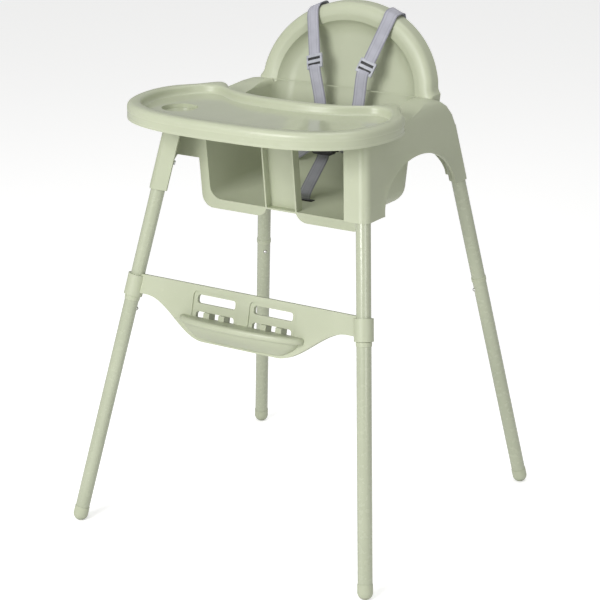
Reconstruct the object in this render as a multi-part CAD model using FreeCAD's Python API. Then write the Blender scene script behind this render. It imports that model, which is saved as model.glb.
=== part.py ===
"""Baby high chair: a moulded seat shell on four splayed tube legs, with tray, footrest and harness.

Millimetres. +Z is up, the floor is z = 0, +X is the child's left, and the chair faces -Y. The origin
is on the floor, midway between the feet. Each sub-part is one STEP file in parts/.
"""

import math
import os

import FreeCAD
import Part

V = FreeCAD.Vector

# ---- Legs: the floor point and the socket point of each pair's axis ----
TUBE_R = 12.5
TUBE_WALL = 1.5
SLIDE_GAP = 0.05
FRONT_FOOT_X = 296.5
FRONT_FOOT_Y = -290.0
REAR_FOOT_X = 291.0
REAR_FOOT_Y = 290.0
SOCKET_Z = 600.0
FRONT_SOCKET_X = 206.5
FRONT_SOCKET_Y = -155.5
REAR_SOCKET_X = 203.5
REAR_SOCKET_Y = 177.0
SOCKET_DEPTH = 95.0
JOINT_S = 404.0
RING_H = 8.0
RING_LIP = 1.0
SLEEVE_UP = 45.0
SLEEVE_DOWN = 60.0
CAP_LIP = 0.7
CAP_SKIRT = 13.0
CAP_STEM = 22.0

# ---- Snap buttons ----
BUTTON_R = 3.5
BUTTON_PROUD = 3.0
BUTTON_BELOW = 15.0
BUTTON_GAP = 0.15
BUTTON_FLANGE = 1.2
BUTTON_TRAVEL = 4.7
LEAF_T = 0.6
LEAF_W = 8.0
LEAF_L = 26.0

# ---- Seat shell ----
WALL = 3.0
SOCKET_WALL = 3.2
SOCKET_GAP = 0.1
DECK_Z = 752.0
SHOULDER_R = 58.0
ARM_ROUND = 20.0
ARM_SEAT_Z = 737.5
ARM_STEP_Y = 8.0
ARM_RAMP_Y = 96.0
COLUMN_INNER = 27.6
ARCH_Y = 12.0
ARCH_HALF = 124.0
ARCH_TOP_Z = 677.0
ARCH_LIP = 5.0
FLARE_AT_FOOT = 0.2
BACK_ARCH_HALF = 172.0

# ---- Tub ----
TUB_HALF = 146.0
TUB_FLOOR_Z = 573.0
TUB_REAR_Y = 104.0
TUB_REAR_SLOPE = 0.22
TUB_CORNER = 34.0
FRONT_Y = -87.0
FRONT_SLOPE = 0.12
LIP = 18.0
LIP_CORNER = 22.0
TUB_ROUND = 22.0
MOUTH_ROUND = 11.0
POST_HALF = 32.0
POST_DEPTH = 15.0
POST_TOP_Z = 733.0
WEB_Z = 645.0

# ---- Backrest ----
BACK_TOP_Z = 897.0
BACK_BASE_Z = 745.0
CUT_LAP = 2.0  # how far the tub's hollow runs up into the hollow of the dish
BACK_HALF = 175.0
BACK_BASE_Y = 119.0
BACK_TOP_Y = 151.0
RIM_DEPTH = 30.0
RIM_ROUND = 11.0
BACK_FOOT = 30.0
FLARE_R = 22.0
FLARE_Z = 25.0
FLARE_TURN = 46.0
DISH_LIP = 11.0
DISH_ROLL = 4.0

# ---- Tray ----
TRAY_HALF = 246.0
TRAY_SIDE_Y = -112.0
TRAY_FRONT_Y = -287.0
TRAY_HORN_X = 178.0
TRAY_HORN_Y = 2.0
TRAY_REAR_Y = -61.0
TRAY_CREST_Z = 763.0
TRAY_BOTTOM_Z = 735.0
TRAY_FLOOR_Z = 748.5
TRAY_RIM = 24.0
TRAY_ROUND = 9.0
TRAY_GAP = 0.5
TRAY_FULLNESS = 2.8
TRAY_WELL_ROUND = 5.0
TRAY_LIP_ROUND = 4.0
CUP_R = 31.0
CUP_DEPTH = 7.5
CUP_X = -153.0
CUP_Y = -162.0
NOTCH_GAP = 4.0

# ---- Footrest ----
COLLAR_GAP = 0.1
COLLAR_WALL = 4.0
COLLAR_S = 412.5
COLLAR_H = 38.0
BAR_T = 9.0
BAR_DIP = 96.0
BAR_END_H = 34.0
BAR_RAMP_END = 205.0
BAR_FLAT = 75.0
BAR_FACE = 4.0
PANEL_DEPTH = 2.0
SLOT_X = 58.0
SLOT_HALF = 39.0
SLOT_H = 15.0
SLOT_ROW_S = 429.0
SLOT_PITCH = 29.0
SLOT_CORNER = 5.0
PLUG_GAP = 0.4
PLUG_REACH = 13.0
SHELF_HALF = 125.0
SHELF_REACH = 46.0
SHELF_NOSE = 12.0
SHELF_DROP = 36.0
HOOK_SHIFT = 15.5
HOOK_HALF = 6.0

# ---- Harness ----
CROTCH_Y = -8.0
WAIST_X = 92.0
WAIST_Z = 622.0
STRAP_W = 24.0
STRAP_T = 1.4
STRAP_GAP = 0.35
STRAP_RIM_GAP = 4.0
SHOULDER_X = 79.0
ADJUSTER_X = 53.0
ANCHOR_Y = 176.0
ANCHOR_Z = 800.0
ADJUSTER_L = 26.0
ADJUSTER_W = 33.0
ADJUSTER_T = 5.0
BUCKLE_W = 46.0
BUCKLE_H = 44.0
BUCKLE_T = 15.0
BUCKLE_Z = 664.0
BUCKLE_Y = 55.0
TONGUE_W = 18.0
TONGUE_L = 30.0
TONGUE_T = 3.0
TONGUE_GAP = 0.3
TONGUE_IN = 14.0
TONGUE_BACK = 3.0
PUSH_R = 9.0
PUSH_PROUD = 1.5
PUSH_TRAVEL = 2.5
PUSH_DEEP = 5.0
PLATE_T = 2.5
PLATE_L = 38.0
PLATE_W = 15.0

FOOT_R = TUBE_R + CAP_LIP
SOCKET_R = TUBE_R + SOCKET_GAP + SOCKET_WALL
SLEEVE_R = TUBE_R - TUBE_WALL - SLIDE_GAP
BIG = 700.0


def save(name, shape):
    """Write one sub-part after checking that it is a sound solid."""
    if not shape.isValid():
        raise ValueError(name + " is not a valid shape")
    shape.exportStep("parts/" + name + ".step")
    print(name, "solids", len(shape.Solids), "volume", round(shape.Volume))


def block(x0, y0, z0, x1, y1, z1):
    """A box between two corners."""
    return Part.makeBox(x1 - x0, y1 - y0, z1 - z0, V(x0, y0, z0))


def mirrored(shape):
    """The same piece on the other side of the chair."""
    return shape.mirror(V(0, 0, 0), V(1, 0, 0))


# ---------------------------------------------------------------- legs
class Leg:
    """One leg's axis: s runs along it from the foot's ball centre up to the socket."""

    def __init__(self, name, side, foot_x, foot_y, socket_x, socket_y):
        self.name = name
        self.side = side
        self.foot = V(side * foot_x, foot_y, FOOT_R)
        self.socket = V(side * socket_x, socket_y, SOCKET_Z)
        self.length = (self.socket - self.foot).Length
        self.dir = (self.socket - self.foot).normalize()
        inward = V(-self.foot.x, -self.foot.y, 0)
        self.inward = (inward - self.dir * inward.dot(self.dir)).normalize()

    def at(self, s):
        return self.foot + self.dir * s

    def at_height(self, z):
        return self.at((z - self.foot.z) / self.dir.z)

    def rod(self, radius, s0, s1):
        return Part.makeCylinder(radius, s1 - s0, self.at(s0), self.dir)

    def pipe(self, outer, inner, s0, s1):
        return self.rod(outer, s0, s1).cut(self.rod(inner, s0 - 1, s1 + 1))


LEGS = []
for side, word in ((-1, "right"), (1, "left")):
    LEGS.append(Leg("front_" + word, side, FRONT_FOOT_X, FRONT_FOOT_Y, FRONT_SOCKET_X, FRONT_SOCKET_Y))
    LEGS.append(Leg("rear_" + word, side, REAR_FOOT_X, REAR_FOOT_Y, REAR_SOCKET_X, REAR_SOCKET_Y))
FRONT = LEGS[2]
REAR = LEGS[3]

RING_TOP_S = JOINT_S + RING_H
BUTTON_S = JOINT_S - BUTTON_BELOW


def button_hole(leg):
    """The round hole that the snap button comes out of."""
    start = leg.at(BUTTON_S)
    return Part.makeCylinder(BUTTON_R + BUTTON_GAP, 2 * TUBE_R, start, leg.inward)


def upper_leg(leg):
    top = leg.length + SOCKET_DEPTH - 1
    tube = leg.pipe(TUBE_R, TUBE_R - TUBE_WALL, RING_TOP_S, top)
    return tube.cut(screw_hole(leg))


def screw_hole(leg):
    """The cross hole for the screw that holds the leg in its socket."""
    start = leg.at(leg.length + SOCKET_DEPTH / 2) - leg.inward * 3
    return Part.makeCylinder(2.2, 2 * TUBE_R, start, leg.inward)


def lower_leg(leg):
    tube = leg.pipe(TUBE_R, TUBE_R - TUBE_WALL, 1.0, JOINT_S)
    return tube.cut(button_hole(leg))


def sleeve(leg):
    tube = leg.pipe(SLEEVE_R, SLEEVE_R - TUBE_WALL, JOINT_S - SLEEVE_DOWN, RING_TOP_S + SLEEVE_UP)
    return tube.cut(button_hole(leg))


def ring(leg):
    body = leg.pipe(TUBE_R + RING_LIP, SLEEVE_R + SLIDE_GAP, JOINT_S + 0.05, RING_TOP_S - 0.05)
    outer = [e for e in body.Edges if e.Length > 2 * math.pi * TUBE_R]
    return body.makeFillet(RING_LIP * 0.9, outer)


def foot_cap(leg):
    """A ball foot with a short skirt outside the tube and a stem inside it."""
    ball = Part.makeSphere(FOOT_R, leg.at(0))
    skirt = leg.rod(FOOT_R, 0, CAP_SKIRT)
    socket = leg.pipe(TUBE_R + SLIDE_GAP, TUBE_R - TUBE_WALL - SLIDE_GAP, 1.0 - SLIDE_GAP, CAP_SKIRT + 1)
    stem = leg.rod(TUBE_R - TUBE_WALL - SLIDE_GAP, 0, CAP_STEM)
    return ball.fuse(skirt).fuse(stem).cut(socket).removeSplitter()


def snap_button(leg):
    """A domed pin with a flange that stops it inside the sleeve."""
    inner = SLEEVE_R - TUBE_WALL
    base = leg.at(BUTTON_S)
    tip = TUBE_R + BUTTON_PROUD
    pin = Part.makeCylinder(BUTTON_R, tip - BUTTON_R - inner + 3, base + leg.inward * (inner - 3), leg.inward)
    dome = Part.makeSphere(BUTTON_R, base + leg.inward * (tip - BUTTON_R))
    flange = Part.makeCylinder(
        BUTTON_R + 1.0, BUTTON_FLANGE, base + leg.inward * (inner - 3), leg.inward)
    return pin.fuse(dome).fuse(flange).removeSplitter()


def snap_spring(leg):
    """A leaf folded into a U, narrow enough to follow the button in by its travel."""
    inner = SLEEVE_R - TUBE_WALL
    top = inner - 3 - 0.05
    bottom = -inner + BUTTON_TRAVEL + 1.5
    across = leg.dir.cross(leg.inward)

    def plate(r0, r1, s0, s1):
        corner = leg.at(s0) + leg.inward * r0 - across * (LEAF_W / 2)
        wire = Part.makePolygon([
            corner,
            corner + leg.inward * (r1 - r0),
            corner + leg.inward * (r1 - r0) + across * LEAF_W,
            corner + across * LEAF_W,
            corner,
        ])
        return Part.Face(wire).extrude(leg.dir * (s1 - s0))

    low = BUTTON_S - LEAF_L
    high = BUTTON_S + BUTTON_R + 1.5
    leaf = plate(top - LEAF_T, top, low, high)
    leaf = leaf.fuse(plate(bottom, bottom + LEAF_T, low, high - 4))
    leaf = leaf.fuse(plate(bottom, top, low, low + LEAF_T))
    return leaf.removeSplitter()


def socket_screws():
    """One pan-head screw through each socket's inner wall into its leg."""
    screws = []
    for leg in LEGS:
        start = leg.at(leg.length + SOCKET_DEPTH / 2)
        shank = Part.makeCylinder(2.0, 8.0, start + leg.inward * (TUBE_R - 3), leg.inward)
        head = Part.makeCylinder(4.0, 2.4, start + leg.inward * (SOCKET_R + 0.1), leg.inward)
        screws.append(shank.fuse(head).removeSplitter())
    return Part.makeCompound(screws)


# ---------------------------------------------------------------- seat shell
def hull_wire(corners, radius, z):
    """A rounded outline around four corner points, anticlockwise from the front right."""
    edges = []
    count = len(corners)
    normals = []
    for i in range(count):
        step = corners[(i + 1) % count] - corners[i]
        normals.append(V(step.y, -step.x, 0).normalize())
    for i in range(count):
        a = corners[i]
        b = corners[(i + 1) % count]
        n = normals[i]
        m = normals[(i + 1) % count]
        start = V(a.x, a.y, z) + n * radius
        end = V(b.x, b.y, z) + n * radius
        edges.append(Part.LineSegment(start, end).toShape())
        middle = V(b.x, b.y, z) + (n + m).normalize() * radius
        edges.append(Part.Arc(end, middle, V(b.x, b.y, z) + m * radius).toShape())
    return Part.Wire(edges)


def quarter(distance, radius):
    """How far a rounded edge has drawn in, this far below its top."""
    if distance >= radius:
        return 0.0
    return radius - math.sqrt(radius ** 2 - (radius - distance) ** 2)


def skirt_section(z, offset, top):
    """The shell's outline at one height: round the four legs, drawn in towards the rounded top."""
    front = FRONT.at_height(z)
    rear = REAR.at_height(z)
    side_in = quarter(top - z, ARM_ROUND)
    rear_in = quarter(top - z, SHOULDER_R)
    corner = SOCKET_R + offset
    fx = front.x - side_in
    rx = rear.x - side_in
    fy = front.y + side_in
    ry = rear.y - rear_in
    points = [V(-fx, fy, z), V(fx, fy, z), V(rx, ry, z), V(-rx, ry, z)]
    return hull_wire(points, corner, z)


def skirt_solid(offset, bottom, top):
    heights = [bottom, (bottom + top - SHOULDER_R) / 2, top - SHOULDER_R]
    for angle in (25, 45, 60):
        heights.append(top - SHOULDER_R + SHOULDER_R * math.sin(math.radians(angle)))
    for angle in (35, 60, 80):
        heights.append(top - ARM_ROUND + ARM_ROUND * math.sin(math.radians(angle)))
    heights.append(top)
    wires = [skirt_section(z, offset, top) for z in sorted(heights)]
    return Part.makeLoft(wires, True, True)


def front_y(z):
    """The front plane of the tub leans forward as it rises."""
    return FRONT_Y - FRONT_SLOPE * (z - SOCKET_Z)


def tub_section(z, offset):
    """The tub's outline at one height, open towards the front plane."""
    rear = TUB_REAR_Y + TUB_REAR_SLOPE * (z - TUB_FLOOR_Z) - TUB_CORNER
    half = TUB_HALF - TUB_CORNER
    ahead = front_y(z) - TUB_CORNER
    points = [V(-half, ahead, z), V(half, ahead, z), V(half, rear, z), V(-half, rear, z)]
    return hull_wire(points, TUB_CORNER + offset, z)


def tub_solid(offset, bottom, top):
    """The tub as a solid: a rounded floor edge, then straight sides."""
    wires = []
    edge = TUB_ROUND + offset
    for angle in (0, 15, 30, 45, 60, 75, 90):
        rise = edge * (1 - math.cos(math.radians(angle)))
        draw = edge * (1 - math.sin(math.radians(angle)))
        wires.append(tub_section(bottom + rise, offset - draw))
    wires.append(tub_section(top, offset))
    return Part.makeLoft(wires, True, True)


def tub_mouth(offset):
    """The rounded inner edge of the arms, as the space it opens above the tub."""
    radius = MOUTH_ROUND - offset
    centre = DECK_Z - MOUTH_ROUND
    wires = []
    for angle in (0, 20, 40, 60, 75, 90):
        t = math.radians(angle)
        wires.append(tub_section(centre + radius * math.sin(t), offset + radius * (1 - math.cos(t))))
    body = Part.makeLoft(wires, True, True)
    return body.common(block(-BIG, -BIG, centre, BIG, BACK_BASE_Y, DECK_Z + 5))


def opening_block(x0, x1, z0, z1, corner, y0, y1):
    """A block with rounded lower corners, straight through from y0 to y1."""
    body = block(x0, y0, z0, x1, y1, z1)
    lower = []
    for e in body.Edges:
        c = e.CenterOfMass
        if abs(c.z - z0) < 0.01 and min(abs(c.x - x0), abs(c.x - x1)) < 0.01:
            lower.append(e)
    return body.makeFillet(corner, lower)


def front_slab(thickness, forward):
    """The space just behind the front plane, as a leaning slab."""
    z0 = TUB_FLOOR_Z - 60
    z1 = DECK_Z + 20
    points = [
        V(-BIG, front_y(z0) - forward, z0),
        V(-BIG, front_y(z0) + thickness, z0),
        V(-BIG, front_y(z1) + thickness, z1),
        V(-BIG, front_y(z1) - forward, z1),
    ]
    return Part.Face(Part.makePolygon(points + points[:1])).extrude(V(2 * BIG, 0, 0))


def arch_prism(half, top_z, centre, along_x):
    """A half-ellipse tunnel through the shell, from below its lower edge."""
    rise = top_z - SOCKET_Z
    ellipse = Part.Ellipse(V(0, 0, 0), max(half, rise), min(half, rise))
    face = Part.Face(Part.Wire(ellipse.toShape()))
    turn = FreeCAD.Rotation(V(0, 1, 0), V(0, 0, 1), V(1, 0, 0), "ZXY")
    face.Placement = FreeCAD.Placement(V(0, 0, 0), turn)
    if along_x:
        face.translate(V(-BIG, centre, SOCKET_Z))
        prism = face.extrude(V(2 * BIG, 0, 0))
    else:
        face.rotate(V(0, 0, 0), V(0, 0, 1), 90)
        face.translate(V(centre, 0, SOCKET_Z))
        prism = face.extrude(V(0, BIG, 0))
    return prism


def side_arch():
    """The tunnel through both sides, and its straight legs down to the lower edge."""
    tunnel = arch_prism(ARCH_HALF, ARCH_TOP_Z, ARCH_Y, True)
    return tunnel.fuse(block(-BIG, ARCH_Y - ARCH_HALF, SOCKET_Z - 40, BIG, ARCH_Y + ARCH_HALF, SOCKET_Z))


def rear_arch():
    tunnel = arch_prism(BACK_ARCH_HALF, ARCH_TOP_Z, 0, False)
    lower = block(-BACK_ARCH_HALF, 0, SOCKET_Z - 40, BACK_ARCH_HALF, BIG, SOCKET_Z)
    return tunnel.fuse(lower)


def panel_x(y, z):
    """How far out the flat side panel is at one place."""
    front = FRONT.at_height(z)
    rear = REAR.at_height(z)
    share = (y - front.y) / (rear.y - front.y)
    return front.x + (rear.x - front.x) * share + SOCKET_R


def arch_flare():
    """The edge round the left side arch turns softly outwards, and least at its feet."""
    rise = ARCH_TOP_Z - SOCKET_Z
    base_x = panel_x(ARCH_Y, SOCKET_Z)
    along_y = (panel_x(ARCH_Y + ARCH_HALF, SOCKET_Z) - base_x) / ARCH_HALF
    along_z = (panel_x(ARCH_Y, ARCH_TOP_Z) - base_x) / rise
    wires = []
    for extra, lift in ((3.0, -0.3), (1.8, 0.1), (0.9, 0.45), (0.1, 1.0)):
        points = []
        steps = 16
        for i in range(steps + 1):
            t = math.pi * i / steps
            y = (ARCH_HALF + ARCH_LIP * extra) * math.cos(t)
            z = (rise + ARCH_LIP * extra) * math.sin(t)
            out = ARCH_LIP * lift * (FLARE_AT_FOOT + (1 - FLARE_AT_FOOT) * z / rise)
            points.append(V(base_x + along_y * y + along_z * z + out, ARCH_Y + y, SOCKET_Z + z))
        curve = Part.BSplineCurve()
        curve.interpolate(points)
        base = Part.LineSegment(points[-1], points[0]).toShape()
        wires.append(Part.Wire([curve.toShape(), base]))
    return Part.makeLoft(wires, True, False)


def back_outline(inset, foot, flared):
    """The arch of the backrest as a closed wire in the plane y = 0, with its feet turned out if flared."""
    a = BACK_HALF - inset
    b = math.hypot(BACK_TOP_Z - BACK_BASE_Z, BACK_TOP_Y - BACK_BASE_Y)
    low = math.asin(FLARE_Z / b) if flared else 0.0
    b -= inset
    half = []
    steps = 12
    for i in range(steps + 1):
        t = low + (math.pi / 2 - low) * i / steps
        half.append((a * math.cos(t), b * math.sin(t)))
    if flared:
        centre = BACK_HALF * math.cos(low) + FLARE_R
        turn = []
        for angle in (FLARE_TURN, FLARE_TURN * 0.66, FLARE_TURN * 0.33):
            t = math.radians(angle)
            reach = FLARE_R + inset
            turn.append((centre - reach * math.cos(t), FLARE_Z - reach * math.sin(t)))
        half = turn + half
    points = [V(x, 0, BACK_BASE_Z + z) for x, z in half]
    points += [V(-x, 0, BACK_BASE_Z + z) for x, z in half[-2::-1]]
    curve = Part.BSplineCurve()
    curve.interpolate(points)
    edges = [curve.toShape()]
    ends = [points[-1], points[0]]
    if foot > 0:
        ends = [points[-1], points[-1] - V(0, 0, foot), points[0] - V(0, 0, foot), points[0]]
    for start, end in zip(ends, ends[1:]):
        edges.append(Part.LineSegment(start, end).toShape())
    return Part.Wire(edges)


def lean(shape, depth):
    """Put a piece drawn upright in y = 0 into the backrest's leaning plane, this far behind it."""
    rise = BACK_TOP_Z - BACK_BASE_Z
    run = BACK_TOP_Y - BACK_BASE_Y
    angle = -math.degrees(math.atan2(run, rise))
    shape.rotate(V(0, 0, BACK_BASE_Z), V(1, 0, 0), angle)
    shape.translate(V(0, BACK_BASE_Y + depth, 0))
    return shape


def back_loft(levels, foot=0.0, flared=False):
    """A solid through arches given as (inset, depth behind the rim's front)."""
    wires = [lean(back_outline(inset, foot, flared), depth) for inset, depth in levels]
    return Part.makeLoft(wires, True, True)


def rounded_levels(inset, start, radius, end):
    """Levels for a body whose front edge is rounded, then straight back to its end."""
    levels = []
    for angle in (0, 25, 45, 65, 90):
        draw = radius * (1 - math.sin(math.radians(angle)))
        levels.append((inset + draw, start + radius * (1 - math.cos(math.radians(angle)))))
    levels.append((inset, end))
    return levels


def dish_depth():
    """The dish meets the tub's rear wall where the backrest begins."""
    return tub_rear_y(BACK_BASE_Z) - BACK_BASE_Y


def scoop_levels(offset):
    """The hollow of the backrest: a rolled lip, then the same round corner as the tub's."""
    deep = dish_depth()
    corner = TUB_CORNER + offset
    flat = BACK_HALF - TUB_HALF + TUB_CORNER
    levels = []
    for draw, depth in ((DISH_LIP, -1.0), (DISH_LIP * 0.62, 0.3), (DISH_LIP * 0.22, 1.5)):
        levels.append((BACK_HALF - TUB_HALF - draw - offset, depth + offset))
    first = math.asin(1 - (deep - DISH_ROLL) / TUB_CORNER)
    steps = 7
    for i in range(steps + 1):
        t = first + (math.pi / 2 - first) * i / steps
        levels.append((flat - corner * math.cos(t), deep - TUB_CORNER + corner * math.sin(t)))
    return levels


def backrest():
    """The arched back as a thin moulding: a rolled rim round a hollow face."""
    outer = back_loft(rounded_levels(0.0, 0.0, RIM_ROUND, RIM_DEPTH), BACK_FOOT, True)
    hollow = back_loft(rounded_levels(WALL, WALL, RIM_ROUND - WALL, RIM_DEPTH + 20), BACK_FOOT + 5, True)
    dish = back_loft(scoop_levels(WALL), BACK_FOOT)
    reach = back_loft([(0.5, 0.5), (0.5, dish_depth() + 2 * WALL)], BACK_FOOT)
    return outer.cut(hollow).fuse(dish.common(reach)), back_loft(scoop_levels(0.0))


def arm_step(depth):
    """The material taken off the arms so that the tray's floor can sit over them."""
    high = DECK_Z + 40
    ramp_end = ARM_RAMP_Y + depth
    points = [
        V(-BIG, -BIG, ARM_SEAT_Z - depth),
        V(-BIG, ARM_STEP_Y + depth, ARM_SEAT_Z - depth),
        V(-BIG, ramp_end, DECK_Z),
        V(-BIG, ramp_end, high),
        V(-BIG, -BIG, high),
    ]
    return Part.Face(Part.makePolygon(points + points[:1])).extrude(V(2 * BIG, 0, 0))


def column_gap():
    """The open space between the two front columns, in front of the tub's front plane."""
    low = FRONT.at_height(SOCKET_Z - 40).x - COLUMN_INNER
    high = FRONT.at_height(DECK_Z + 20).x - COLUMN_INNER
    z0 = SOCKET_Z - 40
    z1 = DECK_Z + 20
    points = [V(-low, -BIG, z0), V(low, -BIG, z0), V(high, -BIG, z1), V(-high, -BIG, z1)]
    prism = Part.Face(Part.makePolygon(points + points[:1])).extrude(V(0, 2 * BIG, 0))
    ahead = front_slab(0.0, BIG)
    return prism.common(ahead)


def front_frame():
    """The flat lips round the leg openings, the panels beside them and the crotch post."""
    sheet = front_slab(WALL, 0.0)
    lip_half = TUB_HALF + LIP
    plates = []
    for side in (-1, 1):
        x0, x1 = sorted((side * (POST_HALF - WALL), side * lip_half))
        plate = opening_block(x0, x1, TUB_FLOOR_Z - LIP, DECK_Z + 10, LIP_CORNER, -BIG, BIG)
        x0, x1 = sorted((side * (lip_half - 5), side * (FRONT_SOCKET_X + SOCKET_R)))
        panel = block(x0, -BIG, WEB_Z, x1, BIG, DECK_Z + 10)
        plates.append(plate.fuse(panel).common(sheet))
    frame = plates[0].fuse(plates[1])
    bound = skirt_solid(-WALL / 2, TUB_FLOOR_Z - 60, DECK_Z - 0.5)
    under = block(-TUB_HALF, -BIG, TUB_FLOOR_Z - 60, TUB_HALF, BIG, DECK_Z - 20)
    frame = frame.common(bound.fuse(under.common(front_slab(WALL, 0.0))))
    walls = front_slab(POST_DEPTH + WALL, 0.0)
    post = block(-POST_HALF, -BIG, TUB_FLOOR_Z - WALL, POST_HALF, BIG, POST_TOP_Z).common(walls)
    channel = block(
        -POST_HALF + WALL, -BIG, TUB_FLOOR_Z - 30, POST_HALF - WALL, BIG, POST_TOP_Z - WALL)
    return frame, post.cut(channel.common(front_slab(POST_DEPTH, 5.0)))


def strap_slots():
    """The slots for the crotch strap and the two waist straps."""
    long = STRAP_W + 6
    crotch = block(-long / 2, CROTCH_Y - 3, TUB_FLOOR_Z - 30, long / 2, CROTCH_Y + 3, TUB_FLOOR_Z + 10)
    slots = crotch
    for side in (-1, 1):
        x = side * WAIST_X
        slots = slots.fuse(block(x - 3, 0, WAIST_Z - long / 2, x + 3, BIG, WAIST_Z + long / 2))
    return slots


def seat_shell():
    outer = skirt_solid(0.0, SOCKET_Z, DECK_Z)
    inner = skirt_solid(-WALL, SOCKET_Z - 20, DECK_Z - WALL).cut(arm_step(WALL))
    flare = arch_flare()
    skirt = outer.cut(arm_step(0.0)).cut(inner).fuse(flare).fuse(mirrored(flare))
    skirt = skirt.cut(side_arch()).cut(rear_arch()).cut(column_gap())
    tub_outer = tub_solid(WALL, TUB_FLOOR_Z - WALL, DECK_Z - 1).fuse(tub_mouth(WALL))
    tub_outer = tub_outer.common(front_slab(BIG, 0.0))
    frame, post = front_frame()
    back, dish = backrest()
    shell = skirt.fuse(tub_outer).fuse(frame).fuse(back)
    for leg in LEGS:
        shell = shell.fuse(leg.rod(SOCKET_R - 0.2, leg.length, leg.length + SOCKET_DEPTH + WALL))
    shell = shell.cut(tub_solid(0.0, TUB_FLOOR_Z, BACK_BASE_Z + CUT_LAP)).cut(tub_mouth(0.0))
    shell = shell.cut(dish)
    shell = shell.fuse(post)
    shell = shell.cut(arm_step(0.0)).cut(strap_slots())
    for leg in LEGS:
        shell = shell.cut(leg.rod(TUBE_R + SOCKET_GAP, leg.length - 20, leg.length + SOCKET_DEPTH))
        shell = shell.cut(screw_hole(leg))
    return shell


# ---------------------------------------------------------------- tray
def front_curve(half_width, side_y, front_y_end):
    """The full front of the tray, from its middle round to its widest point."""
    points = []
    depth = side_y - front_y_end
    for angle in (0, 18, 36, 52, 66, 78, 90):
        t = math.radians(angle)
        x = half_width * math.sin(t) ** (2 / TRAY_FULLNESS)
        points.append((x, side_y - depth * math.cos(t) ** (2 / TRAY_FULLNESS)))
    return points


def tray_half():
    """Half the tray's outline: the full front, a tapering side, the rear horn, the hollow rear."""
    hx = TRAY_HORN_X
    hy = TRAY_HORN_Y
    half = front_curve(TRAY_HALF, TRAY_SIDE_Y, TRAY_FRONT_Y)
    half.append(((TRAY_HALF + hx + 25) / 2 + 6, (TRAY_SIDE_Y + hy - 32) / 2 + 6))
    half += [(hx + 25, hy - 32), (hx + 12, hy - 9), (hx, hy), (hx - 15, hy - 5), (hx - 28, hy - 21)]
    inner = hx - 28
    for share in (0.66, 0.33, 0.0):
        half.append((inner * share, TRAY_REAR_Y + (hy - 21 - TRAY_REAR_Y) * share ** 3))
    return half


def well_half():
    """Half the outline of the sunk floor, which follows the tray's outline with softer corners."""
    hx = TRAY_HORN_X
    hy = TRAY_HORN_Y
    half = front_curve(TRAY_HALF - TRAY_RIM, TRAY_SIDE_Y - 4, TRAY_FRONT_Y + TRAY_RIM)
    half += [(hx + 27, hy - 70), (hx + 5, hy - 45), (hx - 20, hy - 41), (hx - 47, hy - 55)]
    inner = hx - 47
    rear = TRAY_REAR_Y - TRAY_RIM
    for share in (0.66, 0.33, 0.0):
        half.append((inner * share, rear + (hy - 55 - rear) * share ** 3))
    return half


def closed_outline(half, inset, z):
    """A smooth symmetric outline through half its points, drawn in square to itself."""
    points = [V(x, y, 0) for x, y in half]
    points += [V(-x, y, 0) for x, y in half[-2:0:-1]]
    count = len(points)
    moved = []
    for i in range(count):
        run = (points[(i + 1) % count] - points[i - 1]).normalize()
        moved.append(points[i] + V(-run.y, run.x, 0) * inset + V(0, 0, z))
    curve = Part.BSplineCurve()
    curve.interpolate(moved, PeriodicFlag=True)
    return Part.Wire(curve.toShape())


def tray_loft(half, levels):
    return Part.makeLoft([closed_outline(half, inset, z) for inset, z in levels], True, False)


def tray_outer_levels(wall):
    """Upright skirt, then a rounded top edge; wall draws the whole form in."""
    crest = TRAY_CREST_Z - wall
    low = TRAY_BOTTOM_Z - (5 if wall else 0)
    shoulder = TRAY_CREST_Z - TRAY_ROUND
    levels = [(wall, low), (wall, (low + shoulder) / 2), (wall, shoulder)]
    radius = crest - shoulder
    for angle in (22, 45, 68, 90):
        t = math.radians(angle)
        levels.append((wall + radius * (1 - math.cos(t)), shoulder + radius * math.sin(t)))
    return levels


def well_levels(out):
    """The well's wall: a rounded floor edge, then a flare to the rim's rounded lip."""
    floor = TRAY_FLOOR_Z - out
    levels = [(TRAY_WELL_ROUND - out, floor)]
    levels.append((TRAY_WELL_ROUND * 0.4 - out, floor + TRAY_WELL_ROUND * 0.22))
    levels.append((-out, floor + TRAY_WELL_ROUND * 0.9))
    levels.append((-TRAY_LIP_ROUND * 0.35 - out, TRAY_CREST_Z - TRAY_LIP_ROUND * 0.8))
    levels.append((-TRAY_LIP_ROUND * 0.8 - out, TRAY_CREST_Z - TRAY_LIP_ROUND * 0.25))
    levels.append((-TRAY_LIP_ROUND * 1.3 - out, TRAY_CREST_Z + 0.02))
    levels.append((-TRAY_LIP_ROUND * 1.3 - out, TRAY_CREST_Z + 6))
    return levels


def tray():
    outline = tray_half()
    well = well_half()
    body = tray_loft(outline, tray_outer_levels(0.0))
    hollow = tray_loft(outline, tray_outer_levels(WALL))
    hollow = hollow.cut(tray_loft(well, well_levels(WALL)))
    body = body.cut(hollow)
    cup_low = TRAY_FLOOR_Z - CUP_DEPTH
    cup_wall = Part.makeCone(CUP_R, CUP_R + WALL, CUP_DEPTH, V(CUP_X, CUP_Y, cup_low - WALL))
    body = body.fuse(cup_wall)
    body = body.cut(tray_loft(well, well_levels(0.0)))
    body = body.cut(Part.makeCylinder(CUP_R, CUP_DEPTH + 1, V(CUP_X, CUP_Y, cup_low)))
    outer_x = REAR.at_height(ARM_SEAT_Z).x + SOCKET_R + NOTCH_GAP
    for side in (-1, 1):
        low, high = sorted((side * (TUB_HALF - NOTCH_GAP), side * outer_x))
        body = body.cut(block(low, -60, TRAY_BOTTOM_Z - 5, high, 40, ARM_SEAT_Z + TRAY_GAP))
    return body


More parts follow.
